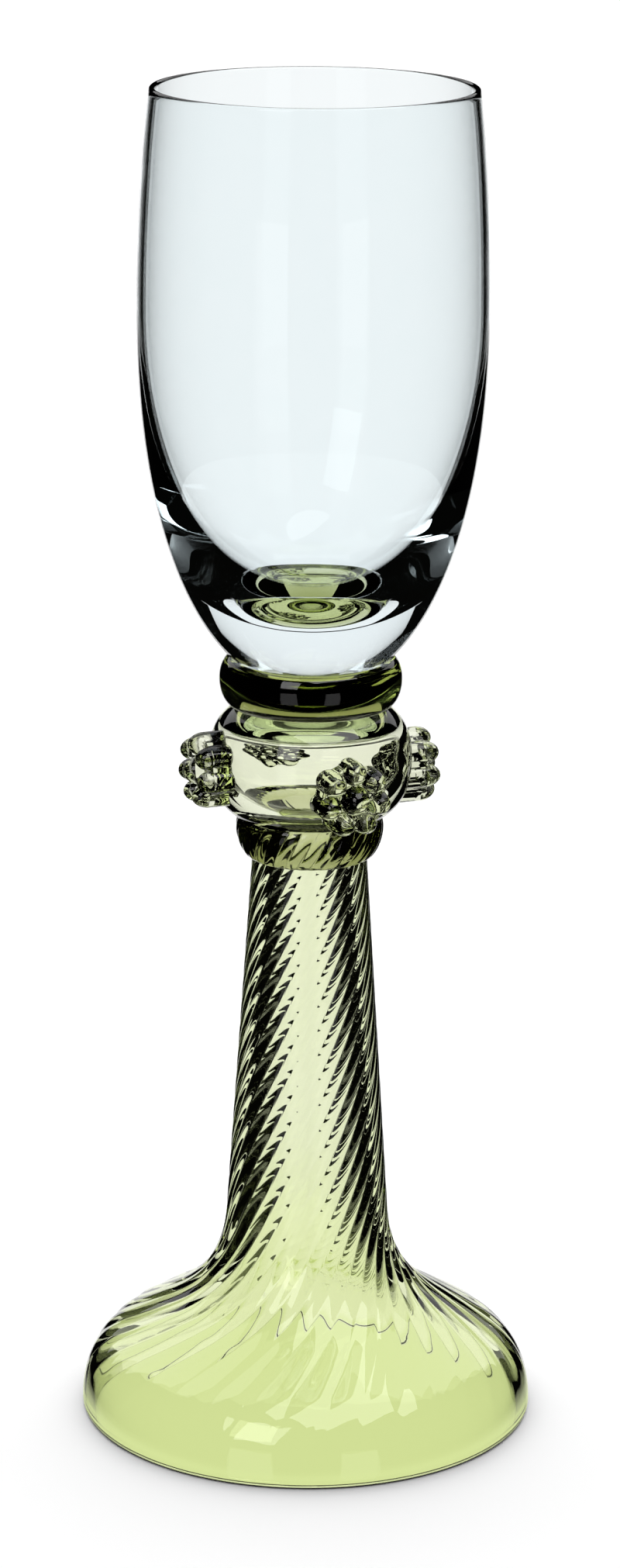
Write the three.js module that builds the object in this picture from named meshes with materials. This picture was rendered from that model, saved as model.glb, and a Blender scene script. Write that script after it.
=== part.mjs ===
// Sherry glass: a clear tulip bowl on a green stem worked hot in separate gathers. From the table up
// it has a hollow stem and domed foot blown as one ribbed bubble, a rope-edged ring, a hollow knop with
// four raspberry prunts, a solid collar, and the bowl. Millimetres, +Z up, origin at the middle of the
// circle on which the foot rests.

import * as THREE from 'three';

// Heights of the stacked pieces, each face to face with the next
const STEM_FOOT_HEIGHT = 86.8;
const LOWER_RING_HEIGHT = 6.4;
const KNOP_HEIGHT = 16.7;
const COLLAR_HEIGHT = 7.1;
const BOWL_HEIGHT = 83;

// Foot: an upright lip, a round shoulder, a sloping dome and a trumpet flare up to the stem
const FOOT_RADIUS = 34;
const FOOT_WALL = 1.7;
const LIP_HEIGHT = 1;
const SHOULDER_REACH = 5.6;
const SHOULDER_RISE = 10.8;
const DOME_REACH = 7.4;
const DOME_RISE = 4.5;
const FLARE_RISE = 14.5;

// Stem: a straight taper with a heavy wall, into which the thin foot thickens between two heights
const STEM_LOW_RADIUS = 12.2;
const STEM_TOP_RADIUS = 8.5;
const STEM_WALL = 3.9;
const THICKENS_FROM = 10;
const THICKENS_TO = 34;

// Optic ribs, pressed in a mould and twisted by hand. They fade out on the dome.
const RIB_COUNT = 32;
const RIB_DEPTH = 0.15;
const RIB_LEAN_DEG = 28;
const RIB_FULL_RADIUS = 27;
const RIB_END_RADIUS = 33.5;
const RING_RIB_DEPTH = 0.1;

// Rope-edged ring between the stem and the knop
const RING_BULGE = 1.5;
const RING_NECK_RADIUS = 9.9;
const RING_FOOT_STEP = 0.2;

// Knop: a blown barrel with a closed crown and an open neck below
const KNOP_RADIUS = 15;
const KNOP_ROUND_HEIGHT = 21.2;
const KNOP_FULLNESS = 2.5;
const KNOP_WALL = 1.8;
const KNOP_CROWN = 2.2;
const HOLLOW_FULLNESS = 4;

// Raspberry prunts: a pad pressed on the knop with a stamp of one boss and a ring of berries that overhang
// it. They were set by eye, a quarter turn apart, each with its own drop below the knop's middle.
const PRUNT_DROPS = { prunt_front: 1.9, prunt_right: 2.5, prunt_back: 1, prunt_left: 0.2 };
const PRUNT_FRONT_TURN_DEG = 22;
const PRUNT_RADIUS = 4.9;
const PRUNT_THICKNESS = 2.2;
const PRUNT_EDGE_ROUND = 1;
const PRUNT_GAP = 0.3;
const BERRY_COUNT = 7;
const BERRY_RADIUS = 1.75;
const BERRY_RING_RADIUS = 3.9;
const BERRY_PROUD = 0.5;
const BOSS_RADIUS = 2.2;
const BOSS_PROUD = 0.8;

// Collar: a solid button of glass with a round edge
const COLLAR_BULGE = 1.9;
const COLLAR_LOW_RADIUS = 11.4;

// Bowl: a heavy solid base, widest above its middle, drawn in to a thin fire-polished rim
const BOWL_BASE_RADIUS = 11.7;
const BOWL_RADIUS = 25.35;
const BOWL_WIDEST_HEIGHT = 51;
const BOWL_RIM_RADIUS = 23.6;
const BOWL_FULLNESS = 2.2;
const BOWL_FLOOR = 8;
const BOWL_WALL = 0.95;

// How finely the round forms are cut into facets; a ball's steps are shares of its radius
const RIB_FACETS = 3;
const RING_RIB_FACETS = 2;
const BOWL_FACETS = 40;
const KNOP_FACETS = 36;
const BERRY_FACETS = 4;
const BALL_STEPS = [0.5, 0.9];
const BEND_STEPS = 4;
const STEM_STEPS = 10;
const BULGE_STEPS = 6;
const WALL_STEPS = 9;

const KNOP_BASE = STEM_FOOT_HEIGHT + LOWER_RING_HEIGHT;
const COLLAR_BASE = KNOP_BASE + KNOP_HEIGHT;
const BOWL_BASE = COLLAR_BASE + COLLAR_HEIGHT;
const STEM_BORE = STEM_TOP_RADIUS - STEM_WALL;
const RIB_SLOPE = Math.tan(THREE.MathUtils.degToRad(RIB_LEAN_DEG));

const GREEN = { color: 0xcfe08a, roughness: 0.04, metalness: 0 };
const CLEAR = { color: 0xe6f0f1, roughness: 0.02, metalness: 0 };

// Points of a lathe profile are (radius, height); the lathe turns about Y, and the glass stands on Z.
function turned(points, facets) {
  return new THREE.LatheGeometry(points, facets).rotateX(Math.PI / 2);
}

// Superellipse: 1 at the middle, 0 at one end, fuller than a circle where the exponent is above 2
function roundness(share, fullness) {
  return Math.pow(1 - Math.pow(Math.min(Math.abs(share), 1), fullness), 1 / fullness);
}

// Half-round bulge from one neck radius to another over a height
function bulge(lowRadius, topRadius, height, reach) {
  const points = [];
  for (let i = 0; i <= BULGE_STEPS; i++) {
    const angle = (i / BULGE_STEPS - 0.5) * Math.PI;
    const rise = (Math.sin(angle) + 1) / 2;
    const radius = THREE.MathUtils.lerp(lowRadius, topRadius, rise) + reach * Math.cos(angle);
    points.push(new THREE.Vector2(radius, rise * height));
  }
  return points;
}

// Outer outline of foot and stem, from the resting rim up
function stemFootOutline() {
  const edge = new THREE.Vector2(FOOT_RADIUS - SHOULDER_REACH, LIP_HEIGHT + SHOULDER_RISE);
  const top = new THREE.Vector2(edge.x - DOME_REACH, edge.y + DOME_RISE);
  const low = new THREE.Vector2(STEM_LOW_RADIUS, top.y + FLARE_RISE);
  const domeSlope = DOME_REACH / DOME_RISE;
  const stemSlope = (STEM_LOW_RADIUS - STEM_TOP_RADIUS) / (STEM_FOOT_HEIGHT - low.y);
  const shoulderHeight = edge.y - SHOULDER_REACH / domeSlope;
  const flareHeight = (top.x + domeSlope * top.y - low.x - stemSlope * low.y) / (domeSlope - stemSlope);
  const flareRadius = low.x + stemSlope * (low.y - flareHeight);

  const lip = new THREE.Vector2(FOOT_RADIUS, LIP_HEIGHT);
  const shoulder = new THREE.QuadraticBezierCurve(lip, new THREE.Vector2(FOOT_RADIUS, shoulderHeight), edge);
  const dome = new THREE.LineCurve(edge, top);
  const flare = new THREE.QuadraticBezierCurve(top, new THREE.Vector2(flareRadius, flareHeight), low);
  const stem = new THREE.LineCurve(low, new THREE.Vector2(STEM_TOP_RADIUS, STEM_FOOT_HEIGHT));
  return [
    new THREE.Vector2(FOOT_RADIUS, 0),
    ...shoulder.getPoints(BEND_STEPS),
    ...dome.getPoints(BEND_STEPS).slice(1),
    ...flare.getPoints(BEND_STEPS).slice(1),
    ...stem.getPoints(STEM_STEPS).slice(1),
  ];
}

// Inner outline: the outer one moved in by the wall, square to it, from the stem's mouth down
function stemFootBore(outline) {
  const bore = outline.slice(1, -1).map((point, i) => {
    const along = outline[i + 2].clone().sub(outline[i]).normalize();
    const thickened = THREE.MathUtils.smoothstep(point.y, THICKENS_FROM, THICKENS_TO);
    const wall = THREE.MathUtils.lerp(FOOT_WALL, STEM_WALL, thickened);
    return new THREE.Vector2(point.x - wall * along.y, point.y + wall * along.x);
  });
  return [
    new THREE.Vector2(STEM_BORE, STEM_FOOT_HEIGHT),
    ...bore.reverse().filter((point, i) => i % 2 === 1),
    new THREE.Vector2(FOOT_RADIUS - FOOT_WALL, 0),
  ];
}

// Angle through which the ribs have turned at each point of an outline, at a steady lean to its side
function twistAlong(outline) {
  const twist = [0];
  for (let i = 1; i < outline.length; i++) {
    const step = outline[i].distanceTo(outline[i - 1]);
    const radius = (outline[i].x + outline[i - 1].x) / 2;
    twist.push(twist[i - 1] + (RIB_SLOPE * step) / radius);
  }
  return twist;
}

function twistAt(height, outline, twist) {
  const above = outline.findIndex((point) => point.y >= height);
  if (above === 0) return twist[0];
  const share = (height - outline[above - 1].y) / (outline[above].y - outline[above - 1].y);
  return THREE.MathUtils.lerp(twist[above - 1], twist[above], share);
}

// A closed skin over rows and columns of points. Columns run right round. The rows either close on
// themselves, as a tube's section does, or start and end in a single point.
function skin(rows, columns, closesOnItself, pointAt) {
  const positions = [];
  for (let i = 0; i < rows; i++) {
    for (let j = 0; j < columns; j++) positions.push(...pointAt(i, j).toArray());
  }
  const index = [];
  const strips = closesOnItself ? rows : rows - 1;
  for (let i = 0; i < strips; i++) {
    const here = i * columns;
    const next = ((i + 1) % rows) * columns;
    for (let j = 0; j < columns; j++) {
      const side = (j + 1) % columns;
      index.push(here + j, here + side, next + side, here + j, next + side, next + j);
    }
  }
  const geometry = new THREE.BufferGeometry();
  geometry.setAttribute('position', new THREE.Float32BufferAttribute(positions, 3));
  geometry.setIndex(index);
  return geometry;
}

// A tube about Z whose columns follow the twist. Each ring is { radius, height, turn, depth }, depth
// being how far its ribs stand out.
function ribbedTube(rings, facetsPerRib) {
  const columns = RIB_COUNT * facetsPerRib;
  return skin(rings.length, columns, true, (i, j) => {
    const ring = rings[i];
    const phase = (2 * Math.PI * (j % facetsPerRib)) / facetsPerRib;
    const radius = ring.radius - (ring.depth * (1 - Math.cos(phase))) / 2;
    const angle = (2 * Math.PI * j) / columns + ring.turn;
    return new THREE.Vector3(radius * Math.cos(angle), radius * Math.sin(angle), ring.height);
  });
}

function stemAndFoot() {
  const outline = stemFootOutline();
  const twist = twistAlong(outline);
  const outside = outline.map((point, i) => ({
    radius: point.x,
    height: point.y,
    turn: twist[i],
    depth: RIB_DEPTH * (1 - THREE.MathUtils.smoothstep(point.x, RIB_FULL_RADIUS, RIB_END_RADIUS)),
  }));
  const inside = stemFootBore(outline).map((point) => ({
    radius: point.x,
    height: point.y,
    turn: twistAt(point.y, outline, twist),
    depth: 0,
  }));
  return ribbedTube([...outside, ...inside], RIB_FACETS);
}

function lowerRing() {
  const outside = bulge(STEM_TOP_RADIUS + RING_FOOT_STEP, RING_NECK_RADIUS, LOWER_RING_HEIGHT, RING_BULGE);
  const twist = twistAlong(outside);
  const rings = outside.map((point, i) => ({
    radius: point.x,
    height: point.y,
    turn: twist[i],
    depth: RING_RIB_DEPTH,
  }));
  const lastTurn = twist[twist.length - 1];
  const mouth = { radius: STEM_BORE, height: LOWER_RING_HEIGHT, turn: lastTurn, depth: 0 };
  const seat = { radius: STEM_BORE, height: 0, turn: 0, depth: 0 };
  return ribbedTube([...rings, mouth, seat], RING_RIB_FACETS);
}

// Radius of the knop at a height above its neck
function knopRadiusAt(height) {
  return KNOP_RADIUS * roundness((2 * height - KNOP_HEIGHT) / KNOP_ROUND_HEIGHT, KNOP_FULLNESS);
}

function knop() {
  const side = [];
  for (let i = 0; i <= WALL_STEPS; i++) {
    const height = (KNOP_HEIGHT * i) / WALL_STEPS;
    side.push(new THREE.Vector2(knopRadiusAt(height), height));
  }
  const crown = KNOP_HEIGHT - KNOP_CROWN;
  const middle = KNOP_HEIGHT / 2;
  const hollowRadius = KNOP_RADIUS - KNOP_WALL;
  const hollow = [];
  for (let i = 0; i <= WALL_STEPS; i++) {
    const share = Math.cos((i / WALL_STEPS) * (Math.PI / 2));
    const radius = hollowRadius * roundness(share, HOLLOW_FULLNESS);
    hollow.push(new THREE.Vector2(radius, middle + (crown - middle) * share));
  }
  const neck = new THREE.QuadraticBezierCurve(
    new THREE.Vector2(hollowRadius, middle),
    new THREE.Vector2(hollowRadius, KNOP_WALL),
    new THREE.Vector2(STEM_BORE, 0),
  );
  return turned([...side, new THREE.Vector2(0, KNOP_HEIGHT), ...hollow,
    ...neck.getPoints(BEND_STEPS).slice(1), side[0].clone()], KNOP_FACETS);
}

// How far a prunt's stamped face stands out from the knop's widest radius, at a place on the face
function pruntFace(across, up) {
  const fromMiddle = Math.hypot(across, up);
  const overEdge = Math.max(0, fromMiddle - (PRUNT_RADIUS - PRUNT_EDGE_ROUND));
  const roundedOff = PRUNT_EDGE_ROUND - Math.sqrt(Math.max(0, PRUNT_EDGE_ROUND ** 2 - overEdge ** 2));
  let face = PRUNT_THICKNESS - roundedOff;
  const ball = (radius, proud, distance) => {
    if (distance >= radius) return;
    face = Math.max(face, PRUNT_THICKNESS + proud + Math.sqrt(radius ** 2 - distance ** 2));
  };
  ball(BOSS_RADIUS, BOSS_PROUD, fromMiddle);
  for (let i = 0; i < BERRY_COUNT; i++) {
    const angle = (2 * Math.PI * i) / BERRY_COUNT;
    const aside = across - BERRY_RING_RADIUS * Math.sin(angle);
    const above = up - BERRY_RING_RADIUS * Math.cos(angle);
    ball(BERRY_RADIUS, BERRY_PROUD, Math.hypot(aside, above));
  }
  return face;
}

// Edge of a prunt's face in a direction from its middle: the pad's, or a berry's where that reaches further
function pruntEdge(angle) {
  const pitch = (2 * Math.PI) / BERRY_COUNT;
  const aside = angle - pitch * Math.round(angle / pitch);
  const offset = BERRY_RING_RADIUS * Math.sin(aside);
  if (Math.abs(offset) >= BERRY_RADIUS) return PRUNT_RADIUS;
  const berryEdge = BERRY_RING_RADIUS * Math.cos(aside) + Math.sqrt(BERRY_RADIUS ** 2 - offset ** 2);
  return Math.max(PRUNT_RADIUS, berryEdge);
}

// A prunt facing the front, in the knop's own frame: a stamped face over a bed that follows the knop
function prunt(drop) {
  const middle = KNOP_HEIGHT / 2 - drop;
  const reach = BERRY_RING_RADIUS + BERRY_RADIUS;
  const [upper, lower] = BALL_STEPS;
  const faceRadii = [
    0,
    BOSS_RADIUS * upper,
    BOSS_RADIUS * lower,
    BERRY_RING_RADIUS - BERRY_RADIUS * lower,
    BERRY_RING_RADIUS - BERRY_RADIUS * upper,
    BERRY_RING_RADIUS + BERRY_RADIUS * upper,
    BERRY_RING_RADIUS + BERRY_RADIUS * lower,
    reach,
  ];
  const bedRadii = [reach, reach / 2, 0];
  const radii = [...faceRadii, ...bedRadii];
  const columns = BERRY_COUNT * BERRY_FACETS;
  return skin(radii.length, columns, false, (i, j) => {
    const angle = (2 * Math.PI * j) / columns;
    const fromMiddle = (radii[i] * pruntEdge(angle)) / reach;
    const across = fromMiddle * Math.sin(angle);
    const up = fromMiddle * Math.cos(angle);
    const bed = Math.sqrt((knopRadiusAt(middle + up) + PRUNT_GAP) ** 2 - across ** 2);
    const out = i < faceRadii.length ? KNOP_RADIUS + pruntFace(across, up) : bed;
    return new THREE.Vector3(across, -out, middle + up);
  });
}

function collar() {
  const side = bulge(COLLAR_LOW_RADIUS, BOWL_BASE_RADIUS, COLLAR_HEIGHT, COLLAR_BULGE);
  return turned([new THREE.Vector2(0, 0), ...side, new THREE.Vector2(0, COLLAR_HEIGHT)], KNOP_FACETS);
}

// Height below the bowl's widest place at which its round would close on the axis
function bowlReach() {
  const baseShare = BOWL_BASE_RADIUS / BOWL_RADIUS;
  const share = Math.pow(1 - Math.pow(baseShare, BOWL_FULLNESS), 1 / BOWL_FULLNESS);
  return BOWL_WIDEST_HEIGHT / share;
}

function bowl() {
  const reach = bowlReach();
  const points = [new THREE.Vector2(0, 0)];
  for (let i = 0; i <= WALL_STEPS; i++) {
    const height = (BOWL_WIDEST_HEIGHT * i) / WALL_STEPS;
    const share = (BOWL_WIDEST_HEIGHT - height) / reach;
    points.push(new THREE.Vector2(BOWL_RADIUS * roundness(share, BOWL_FULLNESS), height));
  }
  const lip = BOWL_WALL / 2;
  const lipHeight = BOWL_HEIGHT - lip;
  const upper = (inset) => {
    const drawn = [];
    for (let i = 1; i <= BEND_STEPS; i++) {
      const share = i / BEND_STEPS;
      const radius = THREE.MathUtils.lerp(BOWL_RADIUS, BOWL_RIM_RADIUS, share * share);
      const height = THREE.MathUtils.lerp(BOWL_WIDEST_HEIGHT, lipHeight, share);
      drawn.push(new THREE.Vector2(radius - inset, height));
    }
    return drawn;
  };
  points.push(...upper(0));
  points.push(new THREE.Vector2(BOWL_RIM_RADIUS - lip, BOWL_HEIGHT));
  points.push(...upper(BOWL_WALL).reverse());
  const depth = BOWL_WIDEST_HEIGHT - BOWL_FLOOR;
  for (let i = 0; i <= WALL_STEPS; i++) {
    const angle = (i / WALL_STEPS) * (Math.PI / 2);
    const share = Math.sin(angle);
    const radius = (BOWL_RADIUS - BOWL_WALL) * roundness(share, BOWL_FULLNESS);
    points.push(new THREE.Vector2(radius, BOWL_WIDEST_HEIGHT - depth * share));
  }
  return turned(points, BOWL_FACETS);
}

function piece(name, geometry, height, look) {
  const mesh = new THREE.Mesh(geometry, new THREE.MeshStandardMaterial(look));
  mesh.name = name;
  mesh.position.z = height;
  return mesh;
}

const glass = new THREE.Group();
glass.add(piece('stem_foot', stemAndFoot(), 0, GREEN));
glass.add(piece('lower_ring', lowerRing(), STEM_FOOT_HEIGHT, GREEN));
glass.add(piece('knop', knop(), KNOP_BASE, GREEN));
Object.entries(PRUNT_DROPS).forEach(([name, drop], i, prunts) => {
  const raspberry = piece(name, prunt(drop), KNOP_BASE, GREEN);
  const share = i / prunts.length;
  raspberry.rotation.z = THREE.MathUtils.degToRad(PRUNT_FRONT_TURN_DEG) + 2 * Math.PI * share;
  glass.add(raspberry);
});
glass.add(piece('collar_ring', collar(), COLLAR_BASE, GREEN));
glass.add(piece('bowl', bowl(), BOWL_BASE, CLEAR));

export default glass;
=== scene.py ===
import math

import bpy
import numpy as np
from mathutils import Matrix, Vector


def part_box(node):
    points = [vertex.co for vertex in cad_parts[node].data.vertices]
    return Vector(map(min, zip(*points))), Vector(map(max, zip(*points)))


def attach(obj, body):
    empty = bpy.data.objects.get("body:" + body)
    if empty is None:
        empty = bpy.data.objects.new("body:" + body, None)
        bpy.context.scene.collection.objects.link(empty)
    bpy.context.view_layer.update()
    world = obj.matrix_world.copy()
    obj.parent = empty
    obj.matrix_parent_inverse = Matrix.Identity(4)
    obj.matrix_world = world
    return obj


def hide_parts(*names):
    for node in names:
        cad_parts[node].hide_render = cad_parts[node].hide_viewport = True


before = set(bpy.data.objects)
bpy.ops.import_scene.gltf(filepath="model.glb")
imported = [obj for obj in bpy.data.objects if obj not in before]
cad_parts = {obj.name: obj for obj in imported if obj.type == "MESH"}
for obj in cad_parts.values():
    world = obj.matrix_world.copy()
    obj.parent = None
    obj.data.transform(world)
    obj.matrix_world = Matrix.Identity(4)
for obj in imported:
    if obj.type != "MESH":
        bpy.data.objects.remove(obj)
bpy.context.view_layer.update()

# Stem and foot
# One bubble of yellow-green glass, blown into a ribbed mould, twisted as it was drawn out and opened into
# a domed foot. It is hollow from the resting rim to the top of the stem, and its rim is fire-polished.

MM = 0.001
WELD = 0.05 * MM  # how deep each piece is melted into the next one

stem_low, stem_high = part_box("stem_foot")
FOOT_RADIUS = stem_high.x
STEM_TOP = stem_high.z
FOOT_WALL = 1.7 * MM
STEM_WALL = 3.9 * MM
LIP_HEIGHT = 1.0 * MM
DOME_EDGE = (28.4 * MM, 11.8 * MM)  # radius and height where the round shoulder meets the dome
DOME_TOP = (21.0 * MM, 16.3 * MM)  # where the dome starts to sweep up into the stem
STEM_LOW = (12.2 * MM, 30.8 * MM)  # where the sweep ends and the straight taper starts
WALL_GROWS = (10 * MM, 34 * MM)  # heights between which the thin foot thickens into the stem
STEM_TOP_RADIUS = 8.5 * MM
STEM_BORE = STEM_TOP_RADIUS - STEM_WALL
RIB_COUNT = 32
RIB_COLUMNS = 10
RIB_DEPTH = 0.1 * MM  # at the top of the stem; it grows with the radius
RIB_LEAN = math.radians(28)
RIB_FADE = (29 * MM, 34 * MM)  # radii between which the ribs fade out on the dome


def line(start, end, steps):
    return [tuple(np.add(start, np.subtract(end, start) * i / steps)) for i in range(1, steps + 1)]


def bend(start, corner, end, steps):
    """A quadratic curve from start to end, drawn towards the corner between them."""
    points = []
    for t in np.linspace(0, 1, steps + 1)[1:]:
        points.append(tuple((1 - t) ** 2 * np.array(start) + 2 * t * (1 - t) * np.array(corner)
                            + t ** 2 * np.array(end)))
    return points


def meeting(a, b, c, d):
    """Where the line through a and b meets the line through c and d."""
    across = np.array([np.subtract(b, a), np.subtract(c, d)]).T
    share = np.linalg.solve(across, np.subtract(c, a))[0]
    return tuple(np.add(a, np.subtract(b, a) * share))


def inset(profile, wall):
    """The profile moved in towards the axis, square to its own line, by wall(height)."""
    p = np.array(profile)
    along = np.gradient(p, axis=0)
    along /= np.linalg.norm(along, axis=1)[:, None]
    thick = np.array([wall(z) for z in p[:, 1]])[:, None]
    return [tuple(q) for q in p + thick * np.stack([-along[:, 1], along[:, 0]], axis=1)]


def smoothstep(value, low, high):
    t = np.clip((np.asarray(value) - low) / (high - low), 0, 1)
    return t * t * (3 - 2 * t)


def skin(name, rows, welded, closed=False):
    """A closed smooth mesh over rows of points that run round the axis. The last row either joins the
    first one again, or the first and last rows are drawn together in a point each. welded says of a
    face's middle whether it is melted into another piece, where light passes on without a bend."""
    rows = np.asarray(rows, dtype=float)
    count, columns = rows.shape[:2]
    points = [tuple(p) for p in rows.reshape(-1, 3)]
    faces = []
    for i in range(count if closed else count - 1):
        here, above = i * columns, (i + 1) % count * columns
        for j in range(columns):
            k = (j + 1) % columns
            faces.append((here + j, here + k, above + k, above + j))
    if not closed:
        first, last = len(points), len(points) + 1
        points += [tuple(rows[0].mean(axis=0)), tuple(rows[-1].mean(axis=0))]
        top = (count - 1) * columns
        for j in range(columns):
            k = (j + 1) % columns
            faces.append((first, k, j))
            faces.append((last, top + j, top + k))
    mesh = bpy.data.meshes.new(name)
    mesh.from_pydata(points, [], faces)
    mesh.shade_smooth()
    mesh.set_sharp_from_angle(angle=math.radians(50))
    weld = mesh.attributes.new("weld", "FLOAT", "FACE")
    weld.data.foreach_set("value", [float(welded(face.center)) for face in mesh.polygons])
    piece = bpy.data.objects.new(name, mesh)
    bpy.context.scene.collection.objects.link(piece)
    return piece


def flat_weld(*seams):
    """Tells the faces of flat seams, each given as its height and the radius to which it is welded."""
    return lambda at: any(abs(at.z - z) < WELD / 4 and math.hypot(at.x, at.y) < r for z, r in seams)


def turned(profile, columns, turn=None, depth=None):
    """Rows of points that turn a profile of (radius, height) about Z. Where ribs are given, turn is the
    angle they have reached on each row and depth is how far they stand out there. A rib is a round ridge,
    and the valley between two of them is narrow."""
    p = np.array(profile)
    angle = np.arange(columns) * math.tau / columns
    turn = np.zeros(len(p)) if turn is None else np.array(turn)
    depth = np.zeros(len(p)) if depth is None else np.array(depth)
    radius = p[:, :1] - depth[:, None] * (1 - np.abs(np.cos(RIB_COUNT / 2 * angle))[None, :])
    theta = angle[None, :] + turn[:, None]
    height = np.repeat(p[:, 1:], columns, axis=1)
    return np.stack([radius * np.cos(theta), radius * np.sin(theta), height], axis=2)


def twist(profile):
    """The angle through which the ribs have turned along a profile, at a steady lean to its side."""
    p = np.array(profile)
    step = np.linalg.norm(np.diff(p, axis=0), axis=1)
    middle = (p[1:, 0] + p[:-1, 0]) / 2
    return np.concatenate([[0], np.cumsum(math.tan(RIB_LEAN) * step / middle)])


def linear(colour):
    """A colour written as sRGB hex, in the linear values that the shaders take."""
    parts = [int(colour[i:i + 2], 16) / 255 for i in (1, 3, 5)]
    return [c / 12.92 if c <= 0.04045 else ((c + 0.055) / 1.055) ** 2.4 for c in parts] + [1.0]


def node(tree, kind, settings=(), links=()):
    """Adds a node, sets its properties or input values by name, and links its inputs to other sockets."""
    made = tree.nodes.new(kind)
    for name, value in dict(settings).items():
        if isinstance(name, int) or name in made.inputs:
            made.inputs[name].default_value = value
        else:
            setattr(made, name, value)
    for name, socket in dict(links).items():
        tree.links.new(socket, made.inputs[name])
    return made


def glass(name, cords, soaked, per_metre, wave_size, wave_depth,
          refraction=1.51, mirrored="#FFFFFF", pooled=None, led_on=2):
    """Glass with its colour in the mass. cords are the two nearly equal tints of the streaks that the
    gathering leaves; light loses per_metre of what the soaked colour lacks; waves are the slow ripple of
    a surface that set while it still moved; mirrored tints what its faces throw back; pooled is the tint
    where the glass ran down, with the heights at which that starts and is full. Where light was thrown back
    inside more than led_on times, the colour is painted black: painted shade that keeps thick edges black."""
    material = bpy.data.materials.new(name)
    material.use_nodes = True
    tree = material.node_tree
    tree.nodes.clear()
    place = node(tree, "ShaderNodeTexCoord")
    streaks = node(tree, "ShaderNodeTexNoise", {"Scale": 1 / (9 * MM), "Detail": 2.0, "Distortion": 1.5},
                   {"Vector": place.outputs["Object"]})
    tint = node(tree, "ShaderNodeMix", {"data_type": "RGBA", 6: linear(cords[0]), 7: linear(cords[1])},
                {0: streaks.outputs["Fac"]})
    if pooled:
        height = node(tree, "ShaderNodeSeparateXYZ", (), {0: place.outputs["Object"]})
        low = node(tree, "ShaderNodeMapRange", {"From Min": pooled[1], "From Max": pooled[2]},
                   {"Value": height.outputs["Z"]})
        tint = node(tree, "ShaderNodeMix", {"data_type": "RGBA", 7: linear(pooled[0])},
                    {0: low.outputs["Result"], 6: tint.outputs[2]})
    # painted shade: the colour turns black for light thrown back inside more than led_on times
    if led_on:
        path = node(tree, "ShaderNodeLightPath")
        spent = node(tree, "ShaderNodeMath", {"operation": "GREATER_THAN", 1: led_on + 0.5},
                     {0: path.outputs["Glossy Depth"]})
        tint = node(tree, "ShaderNodeMix", {"data_type": "RGBA", 7: linear("#000000")},
                    {0: spent.outputs["Value"], 6: tint.outputs[2]})
    ripple = node(tree, "ShaderNodeTexNoise", {"Scale": 1 / wave_size, "Detail": 1.0, "Roughness": 0.3},
                  {"Vector": place.outputs["Object"]})
    waves = node(tree, "ShaderNodeBump", {"Strength": 1.0, "Distance": wave_depth},
                 {"Height": ripple.outputs["Fac"]})
    weld = node(tree, "ShaderNodeAttribute", {"attribute_name": "weld"})
    index = node(tree, "ShaderNodeMath",
                 {"operation": "MULTIPLY_ADD", 1: 1.0001 - refraction, 2: refraction},
                 {0: weld.outputs["Fac"]})
    surface = node(tree, "ShaderNodeBsdfPrincipled",
                   {"Roughness": 0.0, "Transmission Weight": 1.0, "Specular Tint": linear(mirrored)},
                   {"Base Color": tint.outputs[2], "Normal": waves.outputs["Normal"],
                    "IOR": index.outputs["Value"]})
    mass = node(tree, "ShaderNodeVolumeAbsorption", {"Color": linear(soaked), "Density": per_metre})
    node(tree, "ShaderNodeOutputMaterial", (),
         {"Surface": surface.outputs["BSDF"], "Volume": mass.outputs["Volume"]})
    return material


# Soda glass tinted yellow-green, and set in the mould: the ribs are rounded by the heat, so each one
# works as a small lens and draws the dark surroundings into a stroke along its side. The foot, where the
# glass ran down, is a shade fuller.
mould_blown_green = glass("mould_blown_green_glass", ("#FBFDF2", "#FFFFFA"), "#EEFAAA", 55,
                          6 * MM, 0.05 * MM, pooled=("#F4F8DE", 45 * MM, 15 * MM))

rim_round = FOOT_WALL / 2
rim_arc = [(FOOT_RADIUS - rim_round + rim_round * math.sin(a), rim_round - rim_round * math.cos(a))
           for a in np.linspace(0, math.pi / 2, 7)]
stem_end = (STEM_TOP_RADIUS, STEM_TOP)
sweep = meeting(DOME_EDGE, DOME_TOP, STEM_LOW, stem_end)
shoulder = meeting(DOME_TOP, DOME_EDGE, (FOOT_RADIUS, 0), (FOOT_RADIUS, LIP_HEIGHT))
outside = rim_arc + line(rim_arc[-1], (FOOT_RADIUS, LIP_HEIGHT), 2)
outside += bend(outside[-1], shoulder, DOME_EDGE, 28)
outside += line(DOME_EDGE, DOME_TOP, 16)
outside += bend(DOME_TOP, sweep, STEM_LOW, 32)
outside += line(STEM_LOW, stem_end, 70)
inside = inset(outside[len(rim_arc):],
               lambda z: FOOT_WALL + (STEM_WALL - FOOT_WALL) * smoothstep(z, *WALL_GROWS))
rim_inner = [(FOOT_RADIUS - rim_round - rim_round * math.cos(a), rim_round - rim_round * math.sin(a))
             for a in np.linspace(0, math.pi / 2, 7)[:-1]]
outer_twist = twist(outside)
inner_twist = outer_twist[len(rim_arc):]
weld_ring = [(STEM_TOP_RADIUS, STEM_TOP + WELD), (STEM_BORE, STEM_TOP + WELD)]
stem_profile = outside + weld_ring + inside[::-1] + rim_inner
stem_turn = list(outer_twist) + [outer_twist[-1]] * 2 + list(inner_twist[::-1]) + [0] * len(rim_inner)
outer_radius = np.array([r for r, z in outside])
rib_depth = RIB_DEPTH * outer_radius / STEM_TOP_RADIUS * (1 - smoothstep(outer_radius, *RIB_FADE))
stem_depth = list(rib_depth) + [RIB_DEPTH, 0] + [0] * (len(inside) + len(rim_inner))

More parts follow.
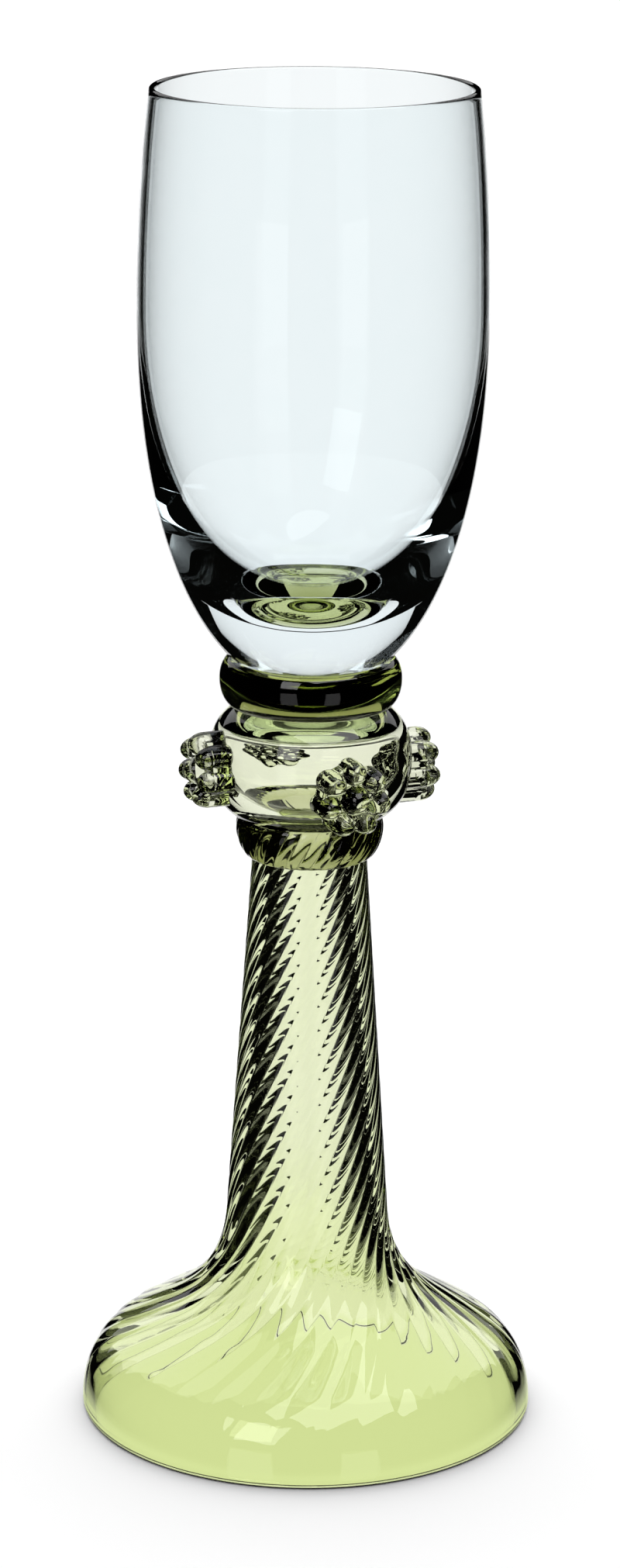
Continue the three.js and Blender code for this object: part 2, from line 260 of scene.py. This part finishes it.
stem_foot = skin("stem_and_foot", turned(stem_profile, RIB_COUNT * RIB_COLUMNS, stem_turn, stem_depth),
                 flat_weld((STEM_TOP + WELD, STEM_TOP_RADIUS)), closed=True)
stem_foot.data.materials.append(mould_blown_green)
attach(stem_foot, "root")
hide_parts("stem_foot")

# Ring under the knop
# A thick trail of the same green glass, wound round the joint and marked with the ribs of the mould, which
# show on it as the twist of a rope. It is welded to stem and knop, and the bore runs on through it.

ring_low, ring_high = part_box("lower_ring")
RING_FOOT_RADIUS = STEM_TOP_RADIUS + 0.2 * MM
RING_NECK_RADIUS = 9.9 * MM
RING_BULGE = 1.5 * MM
RING_RIB_DEPTH = 0.1 * MM


def bulge(low, high, reach, steps):
    """A half-round between two (radius, height) points that stands out by reach in the middle."""
    points = []
    for a in np.linspace(-math.pi / 2, math.pi / 2, steps + 1):
        share = (math.sin(a) + 1) / 2
        points.append((low[0] + (high[0] - low[0]) * share + reach * math.cos(a),
                       low[1] + (high[1] - low[1]) * share))
    return points


# Trailed on thick, with a tint far denser than the same glass elsewhere, which is painted shade: light that
# crosses it loses most of its strength, so it is nearly black and only its upper edge shows the green.
trailed_green = glass("trailed_green_glass", ("#FBFDF2", "#FFFFFA"), "#C2C870", 150, 7 * MM, 0.06 * MM)

ring_outside = bulge((RING_FOOT_RADIUS, ring_low.z), (RING_NECK_RADIUS, ring_high.z + WELD), RING_BULGE, 28)
ring_turn = outer_twist[-1] + twist(ring_outside)
ring_seat = STEM_TOP_RADIUS - RIB_DEPTH / 2
ring_profile = ring_outside + [(STEM_BORE, ring_high.z + WELD), (STEM_BORE, ring_low.z),
                               (ring_seat, ring_low.z)]
lower_ring = skin(
    "ring_under_knop",
    turned(ring_profile, RIB_COUNT * RIB_COLUMNS,
           list(ring_turn) + [ring_turn[-1], ring_turn[0], ring_turn[0]],
           [RING_RIB_DEPTH] * len(ring_outside) + [0, 0, 0]),
    flat_weld((ring_high.z + WELD, RING_NECK_RADIUS), (ring_low.z, ring_seat)),
    closed=True,
)
lower_ring.data.materials.append(trailed_green)
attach(lower_ring, "root")
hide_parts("lower_ring")

# Knop
# A barrel-shaped hollow knop blown from its own gather of the same green glass. Its crown is closed, its
# neck is open to the stem, and its skin kept the slow waves of hand work.

knop_low, knop_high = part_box("knop")
KNOP_RADIUS = (knop_high.x - knop_low.x) / 2
KNOP_ROUND_HEIGHT = 21.2 * MM  # height at which the full round would close on the axis
KNOP_FULLNESS = 2.5
KNOP_WALL = 1.8 * MM
KNOP_CROWN = 2.2 * MM
HOLLOW_FULLNESS = 4
knop_middle = (knop_low.z + knop_high.z) / 2


def roundness(share, fullness):
    """A superellipse: 1 in the middle, 0 at the end, fuller than a circle where fullness is over 2."""
    return (1 - min(abs(share), 1) ** fullness) ** (1 / fullness)


def knop_radius(z):
    return KNOP_RADIUS * roundness((z - knop_middle) / (KNOP_ROUND_HEIGHT / 2), KNOP_FULLNESS)


# Free-blown and left to the heat alone: no mould marks, only broad shallow waves that bend what is seen
# through them.
free_blown_green = glass("free_blown_green_glass", ("#FBFDF2", "#FFFFFA"), "#EEFAAA", 55, 7 * MM, 0.06 * MM)

knop_outside = [(knop_radius(z), z) for z in np.linspace(knop_low.z, knop_high.z, 57)]
knop_outside += [(knop_radius(knop_high.z), knop_high.z + WELD), (0.4 * MM, knop_high.z + WELD)]
hollow_radius = KNOP_RADIUS - KNOP_WALL
crown = knop_high.z - KNOP_CROWN
knop_inside = [(hollow_radius * roundness(math.cos(a), HOLLOW_FULLNESS),
                knop_middle + (crown - knop_middle) * math.cos(a))
               for a in np.linspace(0.03, math.pi / 2, 40)]
knop_neck = bend(knop_inside[-1], (hollow_radius, knop_low.z + KNOP_WALL), (STEM_BORE, knop_low.z), 24)
ring_edge = RING_NECK_RADIUS - RING_RIB_DEPTH / 2
# the section runs from the middle of the crown's top down the outside and back up the hollow
knop_section = knop_outside[::-1] + [(ring_edge, knop_low.z)] + knop_neck[::-1] + knop_inside[::-1]
knop_seams = flat_weld((knop_high.z + WELD, KNOP_RADIUS), (knop_low.z, ring_edge))
# each prunt's turn from the front, a quarter apart, and the height at which it was set by eye
PRUNTS = {
    "prunt_front": (math.radians(22), knop_middle - 1.9 * MM),
    "prunt_right": (math.radians(112), knop_middle - 2.5 * MM),
    "prunt_back": (math.radians(202), knop_middle - 1.0 * MM),
    "prunt_left": (math.radians(292), knop_middle - 0.2 * MM),
}
PRUNT_RADIUS = 4.9 * MM
BERRY_COUNT = 7
BERRY_RADIUS = 1.75 * MM
BERRY_RING = 3.9 * MM


def prunt_edge(angle):
    """How far a prunt reaches from its middle: to the pad's edge, or to a berry's that hangs over it."""
    pitch = math.tau / BERRY_COUNT
    aside = angle - pitch * np.round(angle / pitch)
    half_chord = np.sqrt(np.clip(BERRY_RADIUS ** 2 - (BERRY_RING * np.sin(aside)) ** 2, 0, None))
    return np.maximum(PRUNT_RADIUS, BERRY_RING * np.cos(aside) + half_chord)


def under_prunt(at):
    """Whether a place on the knop's skin lies under one of the prunts."""
    if math.hypot(at.x, at.y) < knop_radius(at.z) - 0.2 * MM:
        return False
    for turn, middle in PRUNTS.values():
        across = at.x * math.cos(turn) + at.y * math.sin(turn)
        out = at.x * math.sin(turn) - at.y * math.cos(turn)
        up = at.z - middle
        if out > 0 and math.hypot(across, up) < prunt_edge(math.atan2(across, up)) - 0.2 * MM:
            return True
    return False


knop = skin("knop_barrel", turned(knop_section, 200)[:, ::-1], lambda at: knop_seams(at) or under_prunt(at))
knop.data.materials.append(free_blown_green)
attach(knop, "root")
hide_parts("knop")

# Raspberry prunts
# Four buttons of hot glass dropped on the knop and pressed with a stamp of one boss and seven berries.
# Each is welded to the knop over its whole bed.

PRUNT_THICKNESS = 2.2 * MM
PRUNT_EDGE = 1.0 * MM
BERRY_RISE = 2.5 * MM
BOSS_RADIUS = 2.2 * MM
BOSS_RISE = 3.25 * MM
CREASE = 0.5 * MM  # how far the heat rounded the creases between the berries


def blend_max(a, b):
    """The larger of two heights, with the crease between them filled by the heat."""
    near = np.clip(CREASE - np.abs(a - b), 0, None) / CREASE
    return np.maximum(a, b) + near ** 2 * CREASE / 4


def dome(away, radius, rise):
    """How high a round bump of that radius and rise stands at a distance from its middle."""
    return rise * np.sqrt(np.clip(1 - (away / radius) ** 2, 0, 1))


def stamped_face(across, up):
    """How far the stamped face stands out from the knop's widest radius."""
    from_middle = np.hypot(across, up)
    over_edge = np.clip(from_middle - (PRUNT_RADIUS - PRUNT_EDGE), 0, PRUNT_EDGE)
    face = PRUNT_THICKNESS - PRUNT_EDGE + np.sqrt(PRUNT_EDGE ** 2 - over_edge ** 2)
    face = blend_max(face, PRUNT_THICKNESS + dome(from_middle, BOSS_RADIUS, BOSS_RISE) - CREASE)
    for i in range(BERRY_COUNT):
        angle = math.tau * i / BERRY_COUNT
        away = np.hypot(across - BERRY_RING * math.sin(angle), up - BERRY_RING * math.cos(angle))
        face = blend_max(face, PRUNT_THICKNESS + dome(away, BERRY_RADIUS, BERRY_RISE) - CREASE)
    return face


# Pressed while soft: small tight curves that each hold a highlight, and a skin that the stamp chilled.
stamped_green = glass("stamped_green_glass", ("#FAFDEE", "#FFFFF8"), "#C4CA98", 60, 3 * MM, 0.01 * MM)

face_shares = np.concatenate([np.linspace(0.01, 0.996, 44), [1]])
bed_shares = np.linspace(1, 0.01, 12)
prunt_angles = np.arange(BERRY_COUNT * 18) * math.tau / (BERRY_COUNT * 18)
for name, (turn, middle) in PRUNTS.items():
    prunt_rows = []
    for i, share in enumerate(np.concatenate([face_shares, bed_shares])):
        across = share * prunt_edge(prunt_angles) * np.sin(prunt_angles)
        up = share * prunt_edge(prunt_angles) * np.cos(prunt_angles)
        around = np.array([knop_radius(middle + u) - WELD for u in up])
        out = np.sqrt(around ** 2 - across ** 2)
        if i < len(face_shares):
            out = KNOP_RADIUS + stamped_face(across, up)
        prunt_rows.append(np.stack([across * math.cos(turn) + out * math.sin(turn),
                                    across * math.sin(turn) - out * math.cos(turn),
                                    middle + up], axis=1))
    prunt = skin("raspberry_" + name, prunt_rows, lambda at: math.hypot(at.x, at.y) < knop_radius(at.z))
    prunt.data.materials.append(stamped_green)
    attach(prunt, "root")
    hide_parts(name)

# Collar under the bowl
# A solid bead of the green glass laid round the joint and melted to the knop below and the bowl above.
# It has no hollow, so it works as a strong lens, and its denser tint paints in more shade, so it looks
# darkest of all.

collar_low, collar_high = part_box("collar_ring")
COLLAR_LOW_RADIUS = 11.4 * MM
BOWL_BASE_RADIUS = 11.7 * MM
COLLAR_BULGE = 1.9 * MM

# Laid on in one turn and left to the heat: a smooth thick bead that bends light hard, dark in its middle
# with a pale upper edge. Its tint is far denser than the same glass elsewhere, which is painted shade.
laid_on_green = glass("laid_on_green_glass", ("#FBFDF2", "#FFFFFA"), "#C2C870", 115, 7 * MM, 0.06 * MM)

knop_edge = knop_radius(knop_high.z)
collar_section = [(0.4 * MM, collar_low.z), (knop_edge, collar_low.z)]
collar_section += bulge((COLLAR_LOW_RADIUS, collar_low.z), (BOWL_BASE_RADIUS, collar_high.z + WELD),
                        COLLAR_BULGE, 36)
collar_section += [(0.4 * MM, collar_high.z + WELD)]
collar = skin("collar", turned(collar_section, 160),
              flat_weld((collar_low.z, knop_edge), (collar_high.z + WELD, BOWL_BASE_RADIUS)))
collar.data.materials.append(laid_on_green)
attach(collar, "root")
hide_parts("collar_ring")

# Bowl
# A tulip bowl of clear glass, free-blown with a heavy solid base, drawn in to a thin rim that was cut off
# and fire-polished round.

bowl_low, bowl_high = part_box("bowl")
BOWL_RADIUS = (bowl_high.x - bowl_low.x) / 2
BOWL_WIDEST = bowl_low.z + 51 * MM
BOWL_RIM_RADIUS = 23.6 * MM
BOWL_FULLNESS = 2.2
BOWL_FLOOR = 8 * MM
BOWL_WALL = 0.95 * MM

# Clear glass with the least grey-blue: still and bright, with faint cords that only bend what lies behind
# them. It mirrors less than it would in a dark room, since a bright one gives back what the wall turns away.
free_blown_clear = glass("free_blown_clear_glass", ("#F8FDFE", "#FAFEFF"), "#CFE8F0", 8,
                         16 * MM, 0.04 * MM, refraction=1.46, mirrored="#BCBCBC", led_on=None)

base_share = (1 - (BOWL_BASE_RADIUS / BOWL_RADIUS) ** BOWL_FULLNESS) ** (1 / BOWL_FULLNESS)
bowl_reach = (BOWL_WIDEST - bowl_low.z) / base_share
lip = BOWL_WALL / 2
lip_z = bowl_high.z - lip


def drawn_in(inset_by):
    points = []
    for t in np.linspace(0, 1, 40)[1:]:
        points.append((BOWL_RADIUS + (BOWL_RIM_RADIUS - BOWL_RADIUS) * t * t - inset_by,
                       BOWL_WIDEST + (lip_z - BOWL_WIDEST) * t))
    return points


bowl_section = [(0.4 * MM, bowl_low.z)]
bowl_section += [(BOWL_RADIUS * roundness((BOWL_WIDEST - z) / bowl_reach, BOWL_FULLNESS), z)
                 for z in np.linspace(bowl_low.z, BOWL_WIDEST, 70)]
bowl_section += drawn_in(0)
bowl_section += [(BOWL_RIM_RADIUS - lip + lip * math.cos(a), lip_z + lip * math.sin(a))
                 for a in np.linspace(0, math.pi, 10)[1:-1]]
bowl_section += drawn_in(BOWL_WALL)[::-1]
bowl_depth = BOWL_WIDEST - bowl_low.z - BOWL_FLOOR
for a in np.linspace(0, math.pi / 2, 80)[:-1]:
    radius = (BOWL_RADIUS - BOWL_WALL) * roundness(math.sin(a), BOWL_FULLNESS)
    bowl_section.append((radius, BOWL_WIDEST - bowl_depth * math.sin(a)))
bowl = skin("tulip_bowl", turned(bowl_section, 192), flat_weld((bowl_low.z, BOWL_BASE_RADIUS)))
bowl.data.materials.append(free_blown_clear)
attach(bowl, "root")
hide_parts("bowl")

# Floor
# A plain white sweep. The eye sees its shade and the shadow; through the glass only the sheet close round
# the foot is seen; under the dome it glows a painted pale green that stands in for light tinted by the glass.

FLOOR_HALF = 6.0
SHEET_EDGE = (34 * MM, 42 * MM)  # radii between which that sheet falls off into the dark

floor_mesh = bpy.data.meshes.new("floor")
floor_mesh.from_pydata([(-FLOOR_HALF, -FLOOR_HALF, 0), (FLOOR_HALF, -FLOOR_HALF, 0),
                        (FLOOR_HALF, FLOOR_HALF, 0), (-FLOOR_HALF, FLOOR_HALF, 0)], [], [(0, 1, 2, 3)])
floor = bpy.data.objects.new("floor", floor_mesh)
bpy.context.scene.collection.objects.link(floor)
paper = bpy.data.materials.new("matt_white_paper")
paper.use_nodes = True
tree = paper.node_tree
tree.nodes.clear()
place = node(tree, "ShaderNodeTexCoord")
radius = node(tree, "ShaderNodeVectorMath", {"operation": "LENGTH"}, {0: place.outputs["Object"]})
on_sheet = node(tree, "ShaderNodeMapRange", {"From Min": SHEET_EDGE[1], "From Max": SHEET_EDGE[0]},
                {"Value": radius.outputs["Value"]})
# painted light: inside the foot's radius the sheet's glow is tinted pale green, in place of light tinted by
# the glass
lit = node(tree, "ShaderNodeMix", {"data_type": "RGBA", 6: linear("#FFFFFF"), 7: linear("#E4EEB8")},
           {0: on_sheet.outputs["Result"]})
sheet = node(tree, "ShaderNodeEmission", {"Strength": 1.0}, {"Color": lit.outputs[2]})
beyond = node(tree, "ShaderNodeBsdfTransparent")
through_glass = node(tree, "ShaderNodeMixShader", (),
                     {0: on_sheet.outputs["Result"], 1: beyond.outputs["BSDF"], 2: sheet.outputs["Emission"]})
matt = node(tree, "ShaderNodeBsdfDiffuse", {"Color": linear("#FFFFFF")})
path = node(tree, "ShaderNodeLightPath")
by_glass = node(tree, "ShaderNodeMath", {"operation": "MAXIMUM"},
                {0: path.outputs["Is Transmission Ray"], 1: path.outputs["Is Glossy Ray"]})
# the eye sees the sheet by way of the glass; seen straight, and for light thrown back up, it is matt paper
from_eye = node(tree, "ShaderNodeMath", {"operation": "GREATER_THAN"},
                {0: by_glass.outputs["Value"], 1: path.outputs["Diffuse Depth"]})
seen = node(tree, "ShaderNodeMixShader", (),
            {0: from_eye.outputs["Value"], 1: matt.outputs["BSDF"], 2: through_glass.outputs["Shader"]})
node(tree, "ShaderNodeOutputMaterial", (), {"Surface": seen.outputs["Shader"]})
floor_mesh.materials.append(paper)

# Camera
# A long lens a little above the rim, looking down on the glass.

CAMERA_PITCH = 15.82

camera_data = bpy.data.cameras.new("camera")
camera_data.lens = 107.5
camera_data.sensor_width = 36.0
camera = bpy.data.objects.new("camera", camera_data)
camera.matrix_world = (Matrix.Translation((0, -0.6638, 0.2856))
                       @ Matrix.Rotation(math.radians(90 - CAMERA_PITCH), 4, "X")
                       @ Matrix.Rotation(math.radians(0.41), 4, "Z"))
bpy.context.scene.collection.objects.link(camera)
bpy.context.scene.camera = camera

# Studio
# Bright-field light: white cloths hang behind and above the glass, in line with the camera, and the room on
# either side is dark, so clear glass gets dark edges. Soft boxes in front and above give the highlights.

STUDIO_DISTANCE = 30.0

cloth = bpy.data.materials.new("lit_white_cloth")
cloth.use_nodes = True
cloth.node_tree.nodes.clear()
glow = node(cloth.node_tree, "ShaderNodeEmission", {"Color": linear("#FFFFFF"), "Strength": 1.0})
node(cloth.node_tree, "ShaderNodeOutputMaterial", (), {"Surface": glow.outputs["Emission"]})


def lit_cloth(name, half_angle, low, high):
    """A curved white cloth far behind the glass, half_angle wide to each side of the camera's line, that
    reaches from low to high above that line. It goes round with the camera."""
    sides = np.radians(np.linspace(-half_angle, half_angle, 9))
    rises = np.radians(np.linspace(low, high, 25))
    points = [(STUDIO_DISTANCE * math.sin(side), STUDIO_DISTANCE * math.cos(side) * math.sin(rise),
               -STUDIO_DISTANCE * math.cos(side) * math.cos(rise)) for rise in rises for side in sides]
    faces = [(i * 9 + j, i * 9 + j + 1, i * 9 + j + 10, i * 9 + j + 9) for i in range(24) for j in range(8)]
    mesh = bpy.data.meshes.new(name)
    mesh.from_pydata(points, [], faces)
    mesh.materials.append(cloth)
    screen = bpy.data.objects.new(name, mesh)
    screen.parent = camera
    screen.visible_camera = False
    screen.visible_diffuse = False
    screen.visible_shadow = False
    bpy.context.scene.collection.objects.link(screen)


lit_cloth("table_cloth", 15, -75, CAMERA_PITCH - 1)
lit_cloth("ceiling_cloth", 40, CAMERA_PITCH + 14, CAMERA_PITCH + 80)


def soft_box(name, place, aim, size, radiance, through_glass=True):
    """A rectangular lamp of (width, height) whose face has the given brightness, white being 1."""
    data = bpy.data.lights.new(name, "AREA")
    data.shape = "RECTANGLE"
    data.size, data.size_y = size
    data.energy = radiance * math.pi * size[0] * size[1]
    lamp = bpy.data.objects.new(name, data)
    lamp.location = place
    lamp.visible_diffuse = False
    lamp.visible_transmission = through_glass
    lamp.rotation_euler = (Vector(aim) - Vector(place)).to_track_quat("-Z", "Y").to_euler()
    bpy.context.scene.collection.objects.link(lamp)


soft_box("soft_box_left", (-0.42, -0.82, -0.10), (0, 0, 0.12), (0.36, 0.5), 0.6)
soft_box("soft_box_right", (0.42, -0.82, -0.10), (0, 0, 0.12), (0.30, 0.5), 0.6)
soft_box("window_left", (-0.40, -0.75, 0.62), (0, 0, 0.01), (0.40, 0.55), 3.0)
soft_box("lamp_above", (0.25, -0.28, 0.95), (0, 0, 0.01), (0.9, 0.6), 3.0, False)

TABLE_SLOPE = -math.sin(math.radians(37))  # rays that go down more steeply than this meet the white table

world = bpy.data.worlds.new("studio")
bpy.context.scene.world = world
world.use_nodes = True
tree = world.node_tree
tree.nodes.clear()
path = node(tree, "ShaderNodeLightPath")
by_glass = node(tree, "ShaderNodeMath", {"operation": "MAXIMUM"},
                {0: path.outputs["Is Transmission Ray"], 1: path.outputs["Is Glossy Ray"]})
way = node(tree, "ShaderNodeTexCoord")
way_up = node(tree, "ShaderNodeSeparateXYZ", (), {0: way.outputs["Generated"]})
down = node(tree, "ShaderNodeMath", {"operation": "LESS_THAN", 1: TABLE_SLOPE}, {0: way_up.outputs["Z"]})
around = node(tree, "ShaderNodeMix", {"data_type": "RGBA", 6: linear("#050504"), 7: linear("#FFFFFF")},
              {0: down.outputs["Value"]})
# the outer faces mirror a dark room; what is shaded by the glass gets a soft grey
within = node(tree, "ShaderNodeMath", {"operation": "GREATER_THAN", 1: 0.5},
              {0: path.outputs["Transmission Depth"]})
mirrored = node(tree, "ShaderNodeMix", {"data_type": "RGBA", 6: linear("#060606")},
                {0: within.outputs["Value"], 7: around.outputs[2]})
shaded = node(tree, "ShaderNodeMix", {"data_type": "RGBA", 7: linear("#5A5A5A")},
              {0: path.outputs["Diffuse Depth"], 6: mirrored.outputs[2]})
# the floor is lit from above and a little from behind, so the shadow stays close and falls to the front
slant = node(tree, "ShaderNodeMath", {"operation": "MULTIPLY_ADD", 1: 1.6, 2: 1.0}, {0: way_up.outputs["Y"]})
from_behind = node(tree, "ShaderNodeMath", {"operation": "MAXIMUM", 1: 0.0}, {0: slant.outputs["Value"]})
steep = node(tree, "ShaderNodeMath", {"operation": "POWER", 1: 3.0}, {0: way_up.outputs["Z"]})
from_above = node(tree, "ShaderNodeMath", {"operation": "MULTIPLY", 1: 2.85}, {0: steep.outputs["Value"]})
day = node(tree, "ShaderNodeMath", {"operation": "MULTIPLY"},
           {0: from_behind.outputs["Value"], 1: from_above.outputs["Value"]})
room = node(tree, "ShaderNodeMix", {"data_type": "RGBA"},
            {0: by_glass.outputs["Value"], 6: day.outputs["Value"], 7: shaded.outputs[2]})
shown = node(tree, "ShaderNodeMix", {"data_type": "RGBA", 7: linear("#FFFFFF")},
             {0: path.outputs["Is Camera Ray"], 6: room.outputs[2]})
sky = node(tree, "ShaderNodeBackground", {"Strength": 1.0}, {"Color": shown.outputs[2]})
node(tree, "ShaderNodeOutputWorld", (), {"Surface": sky.outputs["Background"]})

# the bright glints in the bowl's thick base are led there by up to ten mirrorings
scene = bpy.context.scene
scene.cycles.max_bounces = 32
scene.cycles.transmission_bounces = 24
scene.cycles.glossy_bounces = 10
scene.cycles.caustics_refractive = False
scene.view_settings.view_transform = "Standard"
